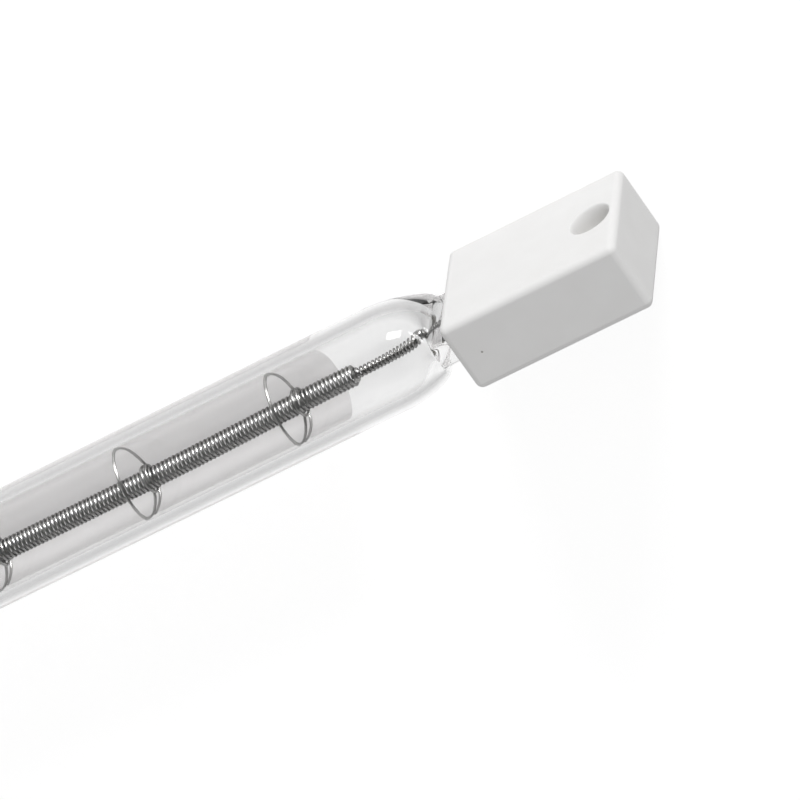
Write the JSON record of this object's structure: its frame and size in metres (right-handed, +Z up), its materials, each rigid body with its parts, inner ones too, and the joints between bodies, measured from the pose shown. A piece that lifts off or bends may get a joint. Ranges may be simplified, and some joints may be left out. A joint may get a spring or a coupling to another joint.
{
  "type": "infrared halogen heating tube",
  "caption": "Double-ended quartz halogen heat lamp: clear tube with half-round reflector coating, tungsten coil on spiral supports and a rectangular ceramic cap at each end.",
  "frame": {"origin": "on the tube's axis at the lamp's mid-length, which is the middle of its box", "axes": "+X along the tube towards cap a, +Y out of the round holes in the caps' broad faces, +Z up, away from the narrow faces that the caps stand on and from the reflector coating"},
  "size_m": [0.35, 0.011, 0.015],
  "materials": {
    "quartz": "clear fused quartz, glossy",
    "coating": "white sintered reflector coating, matte",
    "tungsten": "drawn tungsten wire, satin grey",
    "molybdenum": "bright molybdenum, satin",
    "cap_ceramic": "unglazed white steatite, matte",
    "cement": "off-white ceramic cement, matte and grainy",
    "contact_metal": "nickel, satin"
  },
  "bodies": {
    "root": {"quartz_envelope": "quartz", "reflector_coating": "coating", "filament": "tungsten", "support_ring_01": "tungsten", "support_ring_02": "tungsten", "support_ring_03": "tungsten", "support_ring_04": "tungsten", "support_ring_05": "tungsten", "support_ring_06": "tungsten", "support_ring_07": "tungsten", "support_ring_08": "tungsten", "support_ring_09": "tungsten", "support_ring_10": "tungsten", "support_ring_11": "tungsten", "support_ring_12": "tungsten", "support_ring_13": "tungsten", "support_ring_14": "tungsten", "support_ring_15": "tungsten", "support_ring_16": "tungsten", "ceramic_cap_a": "cap_ceramic", "ceramic_cap_b": "cap_ceramic", "cap_cement_a": "cement", "cap_cement_b": "cement", "contact_a": "contact_metal", "contact_b": "contact_metal", "outer_lead_pin_a": "molybdenum", "outer_lead_pin_b": "molybdenum", "sealing_foil_a": "molybdenum", "sealing_foil_b": "molybdenum", "inner_lead_rod_a": "molybdenum", "inner_lead_rod_b": "molybdenum"}
  },
  "joints": []
}
